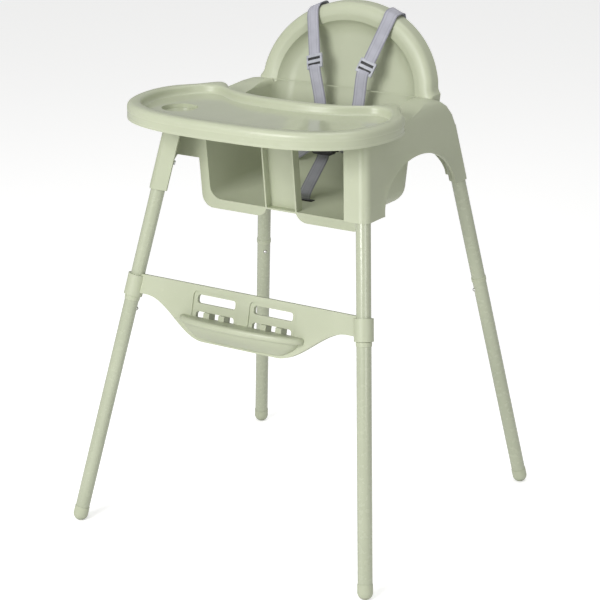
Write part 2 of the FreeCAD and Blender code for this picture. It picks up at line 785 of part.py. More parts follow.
# ---------------------------------------------------------------- footrest
LEG_RUN = V(0, FRONT_SOCKET_Y - FRONT_FOOT_Y, SOCKET_Z - FOOT_R)
UP = V(LEG_RUN.x, LEG_RUN.y, LEG_RUN.z).normalize()
OUT = V(1, 0, 0).cross(UP)


def on_legs(shape):
    """Take a piece drawn as x, height up the legs' plane, and distance in front, into place."""
    matrix = FreeCAD.Matrix(
        1, 0, 0, 0,
        0, UP.y, OUT.y, FRONT_FOOT_Y,
        0, UP.z, OUT.z, FOOT_R,
        0, 0, 0, 1)
    shape.Placement = FreeCAD.Placement(matrix).multiply(shape.Placement)
    return shape


def plane_height(s):
    """Height up the legs' plane of the point s along a front leg."""
    return s * FRONT.dir.dot(UP)


BAR_TOP = plane_height(COLLAR_S + COLLAR_H) + 2.0


def bar_outline(inset):
    """Straight along the top; below, level ends and a deeper middle joined by smooth ramps."""
    end_x = (FRONT.at(COLLAR_S).x) - inset
    top = BAR_TOP - inset
    ramp = []
    steps = 8
    for i in range(steps + 1):
        share = i / steps
        x = BAR_RAMP_END - inset - (BAR_RAMP_END - BAR_FLAT) * share
        drop = BAR_END_H + (BAR_DIP - BAR_END_H) * (1 - math.cos(math.pi * share)) / 2
        ramp.append(V(x, BAR_TOP - drop + inset, 0))
    right = Part.BSplineCurve()
    right.interpolate(ramp)
    left = Part.BSplineCurve()
    left.interpolate([V(-p.x, p.y, 0) for p in reversed(ramp)])
    corners = [V(end_x, ramp[0].y, 0), V(end_x, top, 0), V(-end_x, top, 0), V(-end_x, ramp[0].y, 0)]
    edges = [Part.LineSegment(a, b).toShape() for a, b in zip(corners, corners[1:])]
    edges.append(Part.LineSegment(corners[3], V(-ramp[0].x, ramp[0].y, 0)).toShape())
    edges.append(left.toShape())
    edges.append(Part.LineSegment(V(-ramp[-1].x, ramp[-1].y, 0), ramp[-1]).toShape())
    edges.append(right.toShape())
    edges.append(Part.LineSegment(ramp[0], corners[0]).toShape())
    return Part.Face(Part.Wire(Part.__sortEdges__(edges)))


def slab(face, low, high):
    """A face raised from one distance to another along local z."""
    face.translate(V(0, 0, low))
    return face.extrude(V(0, 0, high - low))


def rounded_slot(x, y, half, height, corner, low, high):
    body = block(x - half, y - height / 2, low, x + half, y + height / 2, high)
    upright = [e for e in body.Edges if abs(e.BoundBox.ZMax - e.BoundBox.ZMin) > (high - low) / 2]
    return body.makeFillet(corner, upright)


def slot_places():
    upper = plane_height(SLOT_ROW_S)
    return [(side * SLOT_X, upper - row * SLOT_PITCH) for side in (-1, 1) for row in (0, 1)]


def footrest_bar():
    plate = slab(bar_outline(0.0), -BAR_T / 2, BAR_T / 2)
    pocket = slab(bar_outline(WALL), -BAR_T, BAR_T / 2 - BAR_FACE)
    for x, y in slot_places():
        boss = rounded_slot(x, y, SLOT_HALF + WALL, SLOT_H + 2 * WALL, SLOT_CORNER + WALL, -BAR_T, BAR_T)
        pocket = pocket.cut(boss)
    plate = plate.cut(pocket)
    for side in (-1, 1):
        middle = plane_height(SLOT_ROW_S) - SLOT_PITCH / 2
        plate = plate.cut(rounded_slot(
            side * SLOT_X, middle, SLOT_HALF + 8, SLOT_PITCH + SLOT_H + 12, SLOT_CORNER + 4,
            BAR_T / 2 - PANEL_DEPTH, BAR_T))
    for x, y in slot_places():
        plate = plate.cut(rounded_slot(x, y, SLOT_HALF, SLOT_H, SLOT_CORNER, -BAR_T, BAR_T))
    plate = on_legs(plate)
    for leg in (LEGS[0], LEGS[2]):
        plate = plate.fuse(leg.rod(TUBE_R + COLLAR_WALL, COLLAR_S, COLLAR_S + COLLAR_H))
    for leg in (LEGS[0], LEGS[2]):
        plate = plate.cut(leg.rod(TUBE_R + COLLAR_GAP, COLLAR_S - 40, COLLAR_S + COLLAR_H + 40))
    return plate.removeSplitter()


def half_disc(half, reach, y):
    """Half an ellipse in the plane of height y, from the bar's face outwards."""
    base = BAR_T / 2 + PLUG_GAP
    ellipse = Part.Ellipse(V(0, 0, 0), half, reach)
    arc = Part.Arc(ellipse, 0, math.pi).toShape()
    chord = Part.LineSegment(V(-half, 0, 0), V(half, 0, 0)).toShape()
    wire = Part.Wire([arc, chord])
    wire.rotate(V(0, 0, 0), V(1, 0, 0), 90)
    wire.translate(V(0, y, base))
    return wire


def footrest_shelf():
    """A crescent shelf on a tapering bracket, with two hooks in each lower slot."""
    top = plane_height(SLOT_ROW_S) - SLOT_PITCH - 2.0
    nose = Part.Face(half_disc(SHELF_HALF, SHELF_REACH, top - SHELF_NOSE)).extrude(V(0, SHELF_NOSE, 0))
    round_edges = [e for e in nose.Edges if e.Length > 2 * SHELF_HALF + 5]
    nose = nose.makeFillet(SHELF_NOSE * 0.42, round_edges)
    levels = ((0.0, 0.94, 0.9), (0.35, 0.9, 0.76), (0.7, 0.81, 0.5), (1.0, 0.68, 0.2))
    wires = []
    for share, wide, deep in levels:
        y = top - SHELF_NOSE * 0.6 - share * (SHELF_DROP - SHELF_NOSE * 0.6)
        wires.append(half_disc(SHELF_HALF * wide, SHELF_REACH * deep, y))
    body = nose.fuse(Part.makeLoft(wires, True, False))
    low = top + 2.0 - SLOT_H / 2 + PLUG_GAP
    high = top + 2.0 + SLOT_H / 2 - PLUG_GAP
    for side in (-1, 1):
        x = side * SLOT_X
        near = BAR_T / 2 + PLUG_GAP + 1
        body = body.fuse(block(x - SLOT_HALF + 6, low, -PLUG_REACH, x + SLOT_HALF - 6, low + 3, near))
        for shift in (-1, 1):
            centre = x + shift * HOOK_SHIFT
            body = body.fuse(block(centre - HOOK_HALF, low, -PLUG_REACH, centre + HOOK_HALF, high, near))
            lug = block(centre - HOOK_HALF, low, near, centre + HOOK_HALF, top, near + 4)
            body = body.fuse(lug)
    return on_legs(body.removeSplitter())


# ---------------------------------------------------------------- harness
def strap(path, wide=STRAP_W, thick=STRAP_T):
    """Flat webbing through hand-set points, each with the direction its width lies in."""
    wires = []
    count = len(path)
    for i in range(count):
        point, across = path[i]
        run = path[min(i + 1, count - 1)][0] - path[max(i - 1, 0)][0]
        across = (across - run * (across.dot(run) / run.dot(run))).normalize()
        up = run.cross(across).normalize()
        side = across * (wide / 2)
        face = up * (thick / 2)
        ring_points = [point - side - face, point + side - face, point + side + face, point - side + face]
        wires.append(Part.makePolygon(ring_points + ring_points[:1]))
    return Part.makeLoft(wires, True, True)


def back_front_y(z):
    """The rim's front plane at one height."""
    share = (z - BACK_BASE_Z) / (BACK_TOP_Z - BACK_BASE_Z)
    return BACK_BASE_Y + (BACK_TOP_Y - BACK_BASE_Y) * share


def arch_height(x):
    """The height of the backrest's rim at this distance from the middle."""
    return BACK_BASE_Z + (BACK_TOP_Z - BACK_BASE_Z) * math.cos(math.asin(x / BACK_HALF))


CREST_Z = arch_height(SHOULDER_X)
STRAP_TOP = V(SHOULDER_X - 2, back_front_y(CREST_Z) - STRAP_RIM_GAP - 1.5, CREST_Z - 10)
ADJUSTER_AT = V(ADJUSTER_X, BACK_BASE_Y - 9, BACK_BASE_Z + 48)
STRAP_DIR = (STRAP_TOP - ADJUSTER_AT).normalize()
BUCKLE_AT = V(0, BUCKLE_Y, BUCKLE_Z)


def shoulder_strap():
    """From the anchor behind the back, over the rim, through the adjuster and to the buckle."""
    slope = V(1, 0, -0.43)
    flat = V(1, 0, 0)
    rear = back_front_y(CREST_Z) + RIM_DEPTH + STRAP_RIM_GAP
    high = CREST_Z + STRAP_T / 2 + 4.0
    front = back_front_y(CREST_Z)
    path = [
        (V(SHOULDER_X, ANCHOR_Y, ANCHOR_Z - 8), flat),
        (V(SHOULDER_X, ANCHOR_Y, ANCHOR_Z + 14), flat),
        (V(SHOULDER_X, rear, CREST_Z - 22), flat),
        (V(SHOULDER_X, rear, CREST_Z - 4), slope),
        (V(SHOULDER_X, rear - 5, high), slope),
        (V(SHOULDER_X, front + 12, high), slope),
        (V(SHOULDER_X - 0.6, front + 3, high - 3.4), slope),
        (STRAP_TOP, V(1, 0, -0.3)),
        (ADJUSTER_AT, V(1, 0, -0.3)),
        (ADJUSTER_AT - STRAP_DIR * (ADJUSTER_L / 2 + 4), V(1, 0, -0.2)),
        (V(38.6, BACK_BASE_Y - 13, TRAY_FLOOR_Z - 29), V(1, 0, -0.1)),
        (V(33, BUCKLE_Y + 36, BUCKLE_Z + 30), V(1, 0.1, 0)),
        (V(27, BUCKLE_Y + 22, BUCKLE_Z + 13), V(1, 0.2, 0)),
    ]
    return strap(path)


def adjuster():
    """A flat frame with a window that the webbing runs through."""
    across = V(1, 0, -0.3)
    across = (across - STRAP_DIR * across.dot(STRAP_DIR)).normalize()
    normal = STRAP_DIR.cross(across)
    half_w = ADJUSTER_W / 2
    half_l = ADJUSTER_L / 2
    half_t = ADJUSTER_T / 2
    body = block(-half_w, -half_l, -half_t, half_w, half_l, half_t)
    body = body.makeFillet(1.5, body.Edges)
    half = STRAP_W / 2 + 1.2
    gap = STRAP_T / 2 + STRAP_GAP
    body = body.cut(block(-half, -ADJUSTER_L, -gap, half, ADJUSTER_L, gap))
    for sign in (-1, 1):
        y = sign * ADJUSTER_L * 0.2
        body = body.cut(block(-half, y - 2.5, 0, half, y + 2.5, ADJUSTER_T))
    matrix = FreeCAD.Matrix(
        across.x, STRAP_DIR.x, normal.x * -1, ADJUSTER_AT.x,
        across.y, STRAP_DIR.y, normal.y * -1, ADJUSTER_AT.y,
        across.z, STRAP_DIR.z, normal.z * -1, ADJUSTER_AT.z,
        0, 0, 0, 1)
    body.Placement = FreeCAD.Placement(matrix)
    return body


def tub_rear_y(z):
    """The tub's inner rear wall at one height."""
    return TUB_REAR_Y + TUB_REAR_SLOPE * (z - TUB_FLOOR_Z)


def waist_strap():
    wall = tub_rear_y(WAIST_Z)
    upright = V(0, 0, 1)
    path = [
        (V(WAIST_X, wall + 16, WAIST_Z), upright),
        (V(WAIST_X, wall - 12, WAIST_Z), upright),
        (V(WAIST_X - 22, wall - 30, WAIST_Z + 10), V(0, 0.2, 1)),
        (V(TONGUE_X + 16, BUCKLE_Y + 22, BUCKLE_Z - 12), V(0, 0.3, 1)),
        (V(TONGUE_X + 8, BUCKLE_Y + 9, BUCKLE_Z - 4), V(0, 0.3, 1)),
    ]
    return strap(path)


def bar_plate(centre, size, hole):
    """A flat retaining plate with a slot for the webbing."""
    half = size * 0.5
    corner = centre - half
    plate = Part.makeBox(size.x, size.y, size.z, corner)
    plate = plate.makeFillet(1.0, plate.Edges)
    return plate.cut(Part.makeBox(hole.x, hole.y, hole.z, centre - hole * 0.5))


def crotch_strap():
    flat = V(1, 0, 0)
    below = TUB_FLOOR_Z - WALL - 12
    path = [
        (V(0, CROTCH_Y, below), flat),
        (V(0, CROTCH_Y, TUB_FLOOR_Z + 5), flat),
        (V(0, CROTCH_Y + 5, TUB_FLOOR_Z + 15), flat),
        (V(0, BUCKLE_Y - 6, BUCKLE_Z - BUCKLE_H / 2 - 9), flat),
        (V(0, BUCKLE_Y, BUCKLE_Z - BUCKLE_H / 2 - 1.3), flat),
    ]
    return strap(path)


TONGUE_X = BUCKLE_W / 2 + TONGUE_L / 2 - TONGUE_IN


def buckle_body():
    """A closed case with a slot at each side for a tongue and a well for the button."""
    low = BUCKLE_AT - V(BUCKLE_W / 2, BUCKLE_T / 2, BUCKLE_H / 2)
    case = Part.makeBox(BUCKLE_W, BUCKLE_T, BUCKLE_H, low)
    upright = [e for e in case.Edges if e.BoundBox.YLength > BUCKLE_T / 2]
    case = case.makeFillet(9.0, upright)
    rims = [e for e in case.Edges if e.BoundBox.YLength < 0.01]
    case = case.makeFillet(2.0, rims)
    well = Part.makeCylinder(PUSH_R + 0.2, PUSH_DEEP, BUCKLE_AT + V(0, -BUCKLE_T / 2 - 0.1, 0), V(0, 1, 0))
    case = case.cut(well)
    for side in (-1, 1):
        x0, x1 = sorted((side * (BUCKLE_W / 2 - TONGUE_IN - TONGUE_GAP), side * BUCKLE_W))
        hole_w = TONGUE_W / 2 + TONGUE_GAP
        hole_t = TONGUE_T / 2 + TONGUE_GAP
        case = case.cut(block(
            x0, BUCKLE_Y + TONGUE_BACK - hole_t, BUCKLE_Z - hole_w,
            x1, BUCKLE_Y + TONGUE_BACK + hole_t, BUCKLE_Z + hole_w))
    return case


def buckle_button():
    start = BUCKLE_AT + V(0, -BUCKLE_T / 2 - PUSH_PROUD, 0)
    button = Part.makeCylinder(PUSH_R, PUSH_PROUD + PUSH_DEEP - PUSH_TRAVEL - 0.4, start, V(0, 1, 0))
    face = [e for e in button.Edges if abs(e.BoundBox.YMin - start.y) < 0.01 and e.BoundBox.YLength < 0.01]
    return button.makeFillet(1.2, face)


def tongue():
    """A flat tab in the buckle's side with an eye at its outer end for two straps."""
    inner = BUCKLE_W / 2 - TONGUE_IN
    y0 = BUCKLE_Y + TONGUE_BACK - TONGUE_T / 2
    tab = block(inner, y0, BUCKLE_Z - TONGUE_W / 2, inner + TONGUE_L, y0 + TONGUE_T, BUCKLE_Z + TONGUE_W / 2)
    head = block(
        BUCKLE_W / 2 + 1, y0, BUCKLE_Z - STRAP_W / 2 - 3,
        BUCKLE_W / 2 + 6, y0 + TONGUE_T, BUCKLE_Z + STRAP_W / 2 + 3)
    return tab.fuse(head).removeSplitter()


def main():
    os.makedirs("parts", exist_ok=True)
    save("seat_shell", seat_shell())
    for leg in LEGS:
        save("upper_leg_" + leg.name, upper_leg(leg))
        save("lower_leg_" + leg.name, lower_leg(leg))
        save("leg_sleeve_" + leg.name, sleeve(leg))
        save("leg_ring_" + leg.name, ring(leg))
        save("foot_cap_" + leg.name, foot_cap(leg))
        save("snap_button_" + leg.name, snap_button(leg))
        save("snap_spring_" + leg.name, snap_spring(leg))
    save("socket_screws", socket_screws())
    save("tray", tray())
    save("footrest_bar", footrest_bar())
    save("footrest_shelf", footrest_shelf())
    hole_gap = 2 * (STRAP_GAP + STRAP_T / 2)
    anchor = bar_plate(
        V(SHOULDER_X, ANCHOR_Y, ANCHOR_Z), V(PLATE_L, PLATE_T + STRAP_T + 2, PLATE_W),
        V(STRAP_W + 1, hole_gap, 2 * PLATE_W))
    wall = tub_rear_y(WAIST_Z)
    waist_plate = bar_plate(
        V(WAIST_X, wall + WALL + PLATE_T / 2 + 5.5, WAIST_Z), V(PLATE_W, PLATE_T, PLATE_L),
        V(hole_gap, 2 * PLATE_T, STRAP_W + 1))
    pairs = (
        ("shoulder_strap", shoulder_strap()),
        ("shoulder_adjuster", adjuster()),
        ("shoulder_strap_anchor", anchor),
        ("waist_strap", waist_strap()),
        ("waist_strap_plate", waist_plate),
        ("buckle_tongue", tongue()),
    )
    for name, shape in pairs:
        save(name + "_left", shape)
        save(name + "_right", mirrored(shape))
    save("crotch_strap", crotch_strap())
    crotch_plate = bar_plate(
        V(0, CROTCH_Y, TUB_FLOOR_Z - WALL - PLATE_T / 2 - 0.3), V(PLATE_L, PLATE_W, PLATE_T),
        V(STRAP_W + 1, hole_gap, 2 * PLATE_T))
    save("crotch_strap_plate", crotch_plate)
    save("buckle_body", buckle_body())
    save("buckle_button", buckle_button())


main()
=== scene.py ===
# %% [markdown]
# # A high chair in moulded plastic and coated tube
#
# The chair's hard parts come from a CAD model: a moulded seat shell on four splayed legs, a tray,
# a footrest and a strap harness. Blender's work is everything that CAD leaves plain.
# The plastic, the coated steel and the webbing get materials, and the soft and small pieces
# are modelled again with the detail that the real ones have.
#
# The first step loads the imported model. It stays where it is: everything else is placed around it.

# %% Load the frame
import math

import bmesh
import bpy
from mathutils import Matrix, Vector


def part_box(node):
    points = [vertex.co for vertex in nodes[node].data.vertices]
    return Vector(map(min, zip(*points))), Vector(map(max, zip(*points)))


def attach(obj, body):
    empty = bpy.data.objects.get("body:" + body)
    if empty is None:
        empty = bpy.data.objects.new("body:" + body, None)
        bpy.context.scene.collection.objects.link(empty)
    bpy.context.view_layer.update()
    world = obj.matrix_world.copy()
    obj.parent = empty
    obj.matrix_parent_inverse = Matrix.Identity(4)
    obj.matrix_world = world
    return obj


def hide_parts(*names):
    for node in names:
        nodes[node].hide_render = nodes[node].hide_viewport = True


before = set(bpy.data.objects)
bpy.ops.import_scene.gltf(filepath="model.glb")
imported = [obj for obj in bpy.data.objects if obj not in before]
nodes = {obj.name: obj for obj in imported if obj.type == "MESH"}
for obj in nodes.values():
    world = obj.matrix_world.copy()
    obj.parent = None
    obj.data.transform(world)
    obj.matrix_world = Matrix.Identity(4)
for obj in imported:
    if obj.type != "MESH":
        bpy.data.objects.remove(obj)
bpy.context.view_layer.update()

print("pieces in the frame:", len(nodes))

# %% [markdown]
# ## Camera and studio
#
# A tall chair is best seen from standing height with a long lens, so that the legs stay
# nearly straight and the seat isn't swollen by perspective. The camera is placed first, because every
# later choice is judged through it. The lens is moved up by a hair, which frames the chair without
# tilting the upright lines.

# %% Place the camera
eye = bpy.data.cameras.new("studio_camera")
camera = bpy.data.objects.new("studio_camera", eye)
bpy.context.scene.collection.objects.link(camera)
camera.location = (1.7793, -2.8289, 1.4724)
camera.rotation_euler = (math.radians(71.953), 0.0, math.radians(32.375))
eye.sensor_width = 36.0
eye.lens = 118.43
eye.shift_y = 0.003
bpy.context.scene.camera = camera
print("camera is", round(camera.location.length, 2), "m from the chair's foot point")

# %% [markdown]
# The floor is one pale sheet, far wider than the view. A wide bright sky of plain white stands in for
# the walls of a light tent: it fills the shadows from every side. Three soft boxes then give the
# plastic its long, quiet highlights. They are large, because the size of a lamp is what
# softens the edge of its shadow. The camera sees the floor and sky brighter than they light
# the chair, so the ground looks white while the far sides of the legs still fall into shade.

# %% Floor, sky and soft boxes
SKY_LIGHT = 0.40
SKY_SEEN = 1.0
FLOOR_GLOW = 0.45


def deselect_everything():
    """Operators act on all that is selected, so every modelling step starts clean."""
    if bpy.context.mode != "OBJECT":
        bpy.ops.object.mode_set(mode="OBJECT")
    for thing in list(bpy.context.selected_objects):
        thing.select_set(False)
    bpy.context.view_layer.objects.active = None


deselect_everything()
bpy.ops.mesh.primitive_plane_add(size=40, location=(0, 0, 0))
floor = bpy.context.active_object
floor.name = "studio_floor"
floor_paint = bpy.data.materials.new("studio_floor")
floor_paint.use_nodes = True
floor_shader = floor_paint.node_tree.nodes["Principled BSDF"]
floor_shader.inputs["Base Color"].default_value = (0.93, 0.93, 0.92, 1)
floor_shader.inputs["Roughness"].default_value = 0.9
floor_shader.inputs["Specular IOR Level"].default_value = 0.1
floor_shader.inputs["Emission Color"].default_value = (1, 1, 1, 1)
floor_tree = floor_paint.node_tree
floor_seen = floor_tree.nodes.new("ShaderNodeLightPath")
floor_glow = floor_tree.nodes.new("ShaderNodeMath")
floor_glow.operation = "MULTIPLY"
floor_glow.inputs[1].default_value = FLOOR_GLOW
floor_tree.links.new(floor_seen.outputs["Is Camera Ray"], floor_glow.inputs[0])
floor_tree.links.new(floor_glow.outputs[0], floor_shader.inputs["Emission Strength"])
floor.data.materials.append(floor_paint)

sky = bpy.data.worlds.new("studio_sky")
bpy.context.scene.world = sky
sky.use_nodes = True
sky.node_tree.nodes["Background"].inputs["Color"].default_value = (1, 1, 1, 1)
sky_seen = sky.node_tree.nodes.new("ShaderNodeLightPath")
sky_level = sky.node_tree.nodes.new("ShaderNodeMapRange")
sky_level.inputs["To Min"].default_value = SKY_LIGHT
sky_level.inputs["To Max"].default_value = SKY_SEEN
sky.node_tree.links.new(sky_seen.outputs["Is Camera Ray"], sky_level.inputs["Value"])
sky.node_tree.links.new(sky_level.outputs["Result"], sky.node_tree.nodes["Background"].inputs["Strength"])
bpy.context.scene.view_settings.view_transform = "Standard"


def soft_box(name, place, aim, size, power):
    """A square lamp that faces the point it lights."""
    data = bpy.data.lights.new(name, "AREA")
    data.shape = "SQUARE"
    data.size = size
    data.energy = power
    lamp = bpy.data.objects.new(name, data)
    bpy.context.scene.collection.objects.link(lamp)
    lamp.location = place
    towards = Vector(aim) - Vector(place)
    lamp.rotation_euler = towards.to_track_quat("-Z", "Y").to_euler()
    return lamp


soft_box("key_box", (-0.3, -3.3, 1.9), (0, 0, 0.6), 1.6, 92)
soft_box("fill_box", (2.8, -1.6, 1.4), (0, 0, 0.6), 1.4, 16)
soft_box("top_box", (0.1, 0.2, 3.2), (0, 0, 0.7), 1.4, 20)

# %% [markdown]
# ## The moulded plastic
#
# The shell, tray, footrest and caps are polypropylene. It comes out of the mould in one colour, with
# faint flow marks where the melt met itself, and a fine spark-eroded grain that turns a mirror gloss
# into a satin one. A painted-on picture could fake that from one side only. Here three noises on Object
# coordinates do it: one shifts the colour slightly, one breaks up the gloss, and two drive the bump, so
# the surface is right from any side and at any distance.

# %% Helpers for node materials
def start_material(name):
    """A material with its shader and object coordinates ready."""
    material = bpy.data.materials.new(name)
    material.use_nodes = True
    tree = material.node_tree
    shader = tree.nodes["Principled BSDF"]
    place = tree.nodes.new("ShaderNodeTexCoord")
    return material, tree, shader, place.outputs["Object"]


def noise(tree, coordinates, scale, detail=2.0, stretch=(1, 1, 1)):
    """Noise on the piece's own coordinates, with its scale in cells per metre."""
    mapping = tree.nodes.new("ShaderNodeMapping")
    mapping.inputs["Scale"].default_value = stretch
    texture = tree.nodes.new("ShaderNodeTexNoise")
    texture.inputs["Scale"].default_value = scale
    texture.inputs["Detail"].default_value = detail
    tree.links.new(coordinates, mapping.inputs["Vector"])
    tree.links.new(mapping.outputs["Vector"], texture.inputs["Vector"])
    return texture.outputs["Fac"]


def spread(tree, value, low, high, to_low, to_high):
    """Map one span of a value to another, with its ends held."""
    node = tree.nodes.new("ShaderNodeMapRange")
    node.inputs["From Min"].default_value = low
    node.inputs["From Max"].default_value = high
    node.inputs["To Min"].default_value = to_low
    node.inputs["To Max"].default_value = to_high
    tree.links.new(value, node.inputs["Value"])
    return node.outputs["Result"]


def mix_colours(tree, share, first, second):
    """A colour between two, by a share from 0 to 1."""
    node = tree.nodes.new("ShaderNodeMix")
    node.data_type = "RGBA"
    tree.links.new(share, node.inputs["Factor"])
    for socket, colour in ((node.inputs["A"], first), (node.inputs["B"], second)):
        if isinstance(colour, tuple):
            socket.default_value = colour
        else:
            tree.links.new(colour, socket)
    return node.outputs["Result"]


def mix_values(tree, share, first, second):
    """A number between two, by a share from 0 to 1."""
    node = tree.nodes.new("ShaderNodeMix")
    tree.links.new(share, node.inputs["Factor"])
    for socket, value in ((node.inputs["A"], first), (node.inputs["B"], second)):
        if isinstance(value, float):
            socket.default_value = value
        else:
            tree.links.new(value, socket)
    return node.outputs["Result"]


def combine(tree, operation, first, second):
    """One sum, product or other operation on two numbers."""
    node = tree.nodes.new("ShaderNodeMath")
    node.operation = operation
    for socket, value in ((node.inputs[0], first), (node.inputs[1], second)):
        if isinstance(value, (int, float)):
            socket.default_value = value
        else:
            tree.links.new(value, socket)
    return node.outputs["Value"]


def bump(tree, height, strength, distance, below=None):
    """A bump from a height, laid over another bump if one is given."""
    node = tree.nodes.new("ShaderNodeBump")
    node.inputs["Strength"].default_value = strength
    node.inputs["Distance"].default_value = distance
    tree.links.new(height, node.inputs["Height"])
    if below is not None:
        tree.links.new(below, node.inputs["Normal"])
    return node.outputs["Normal"]


def height_of(tree, coordinates):
    """How high above the floor a point of the surface is."""
    split = tree.nodes.new("ShaderNodeSeparateXYZ")
    tree.links.new(coordinates, split.inputs["Vector"])
    return split.outputs["Z"]


SAGE_LIGHT = (0.470, 0.500, 0.368, 1)
SAGE_DEEP = (0.432, 0.462, 0.335, 1)
SAGE_WORN = (0.555, 0.580, 0.455, 1)


# %% Moulded plastic
def moulded_plastic(name, gloss_low, gloss_high, grain):
    """Sage polypropylene with flow marks, spark grain and fine scuffs."""
    material, tree, shader, place = start_material(name)
    flow = spread(tree, noise(tree, place, 5.0, 4.0), 0.35, 0.65, 0.0, 1.0)
    colour = mix_colours(tree, flow, SAGE_LIGHT, SAGE_DEEP)
    scuffs = spread(tree, noise(tree, place, 90.0, 6.0, (1, 0.25, 1.6)), 0.64, 0.72, 0.0, 1.0)
    colour = mix_colours(tree, combine(tree, "MULTIPLY", scuffs, 0.16), colour, SAGE_WORN)
    gloss = spread(tree, noise(tree, place, 34.0, 3.0), 0.3, 0.7, gloss_low, gloss_high)
    gloss = combine(tree, "ADD", gloss, combine(tree, "MULTIPLY", scuffs, 0.10))
    tree.links.new(colour, shader.inputs["Base Color"])
    tree.links.new(gloss, shader.inputs["Roughness"])
    shader.inputs["IOR"].default_value = 1.49
    shader.inputs["Subsurface Weight"].default_value = 0.06
    shader.inputs["Subsurface Radius"].default_value = (0.004, 0.005, 0.003)
    wave = bump(tree, noise(tree, place, 11.0, 1.0), 0.35, 0.0011)
    fine = bump(tree, noise(tree, place, 1500.0, 2.0), grain, 0.00009, wave)
    tree.links.new(fine, shader.inputs["Normal"])
    return material, tree, shader, place


shell_plastic = moulded_plastic("shell_plastic", 0.36, 0.46, 0.5)[0]
rest_plastic = moulded_plastic("rest_plastic", 0.33, 0.45, 0.35)[0]
ring_plastic = moulded_plastic("ring_plastic", 0.24, 0.33, 0.2)[0]
print("plastics:", shell_plastic.name, rest_plastic.name, ring_plastic.name)

# %% [markdown]
# ### The tray's polished floor and the worn feet
#
# A tray is polished in the mould where food lies, because a smooth floor wipes clean, and it keeps
# its satin grain on the rim. Both come from one material: the height of the surface chooses
# between them. The same trick scuffs the caps of the feet just where they rub the floor.

# %% Tray and feet
tray_floor_z = 0.7485
tray_plastic, tree, shader, place = moulded_plastic("tray_plastic", 0.30, 0.40, 0.3)
height = height_of(tree, place)
above = combine(tree, "GREATER_THAN", height, tray_floor_z - 0.009)
under = combine(tree, "LESS_THAN", height, tray_floor_z + 0.0006)
polished = combine(tree, "MULTIPLY", above, under)
satin = shader.inputs["Roughness"].links[0].from_socket
wiped = spread(tree, noise(tree, place, 60.0, 5.0), 0.35, 0.75, 0.07, 0.15)
tree.links.new(mix_values(tree, polished, satin, wiped), shader.inputs["Roughness"])
grain_bump = shader.inputs["Normal"].links[0].from_node
tree.links.new(mix_values(tree, polished, 0.3, 0.02), grain_bump.inputs["Strength"])

foot_plastic, tree, shader, place = moulded_plastic("foot_plastic", 0.30, 0.40, 0.3)
low_down = spread(tree, height_of(tree, place), 0.001, 0.010, 1.0, 0.0)
rub = combine(tree, "MULTIPLY", low_down, noise(tree, place, 260.0, 4.0))
clean = shader.inputs["Base Color"].links[0].from_socket
tree.links.new(mix_colours(tree, rub, clean, (0.24, 0.25, 0.20, 1)), shader.inputs["Base Color"])
clean = shader.inputs["Roughness"].links[0].from_socket
tree.links.new(mix_values(tree, rub, clean, 0.7), shader.inputs["Roughness"])
print("made", tray_plastic.name, "and", foot_plastic.name)

# %% [markdown]
# ## The coated tube
#
# The legs are steel tube with a baked powder coat in the same green. Powder melts as it bakes and
# sets with a slight orange peel, so the highlight down each leg is sharp but never quite straight.
# A clear coat over a rougher base gives that double gloss, and a low, wide bump gives the peel.

# %% Coated tube and bare metal
def coated_tube():
    """Powder coat: a glossy skin with orange peel over the colour."""
    material, tree, shader, place = start_material("coated_tube")
    shade = spread(tree, noise(tree, place, 9.0, 3.0), 0.35, 0.65, 0.0, 1.0)
    colour = mix_colours(tree, shade, (0.445, 0.475, 0.350, 1), (0.412, 0.442, 0.322, 1))
    tree.links.new(colour, shader.inputs["Base Color"])
    gloss = spread(tree, noise(tree, place, 120.0, 3.0), 0.3, 0.7, 0.22, 0.30)
    tree.links.new(gloss, shader.inputs["Roughness"])
    shader.inputs["Coat Weight"].default_value = 0.6
    shader.inputs["Coat Roughness"].default_value = 0.12
    tree.links.new(bump(tree, noise(tree, place, 420.0, 2.0), 0.25, 0.00012), shader.inputs["Normal"])
    return material


def plain_metal(name, colour, rough_low, rough_high, brushed):
    """Zinc or polished steel, with a brushed direction in its roughness."""
    material, tree, shader, place = start_material(name)
    tone = spread(tree, noise(tree, place, 40.0, 4.0), 0.3, 0.7, 0.0, 1.0)
    darker = tuple(c * 0.82 for c in colour[:3]) + (1,)
    tree.links.new(mix_colours(tree, tone, colour, darker), shader.inputs["Base Color"])
    lines = noise(tree, place, 300.0, 3.0, brushed)
    tree.links.new(spread(tree, lines, 0.3, 0.7, rough_low, rough_high), shader.inputs["Roughness"])
    shader.inputs["Metallic"].default_value = 1.0
    tree.links.new(bump(tree, lines, 0.12, 0.00005), shader.inputs["Normal"])
    return material


tube_coat = coated_tube()
zinc = plain_metal("zinc_plate", (0.66, 0.67, 0.68, 1), 0.30, 0.44, (1, 1, 8))
pin_steel = plain_metal("pin_steel", (0.72, 0.71, 0.69, 1), 0.14, 0.24, (4, 4, 1))
print("made", tube_coat.name, zinc.name, pin_steel.name)

# %% [markdown]
# ### Putting the finishes on the carried parts
#
# A CAD part needs no new shape where its shape is right, only a finish. The names say what
# each part is, so one short list of rules dresses them all.

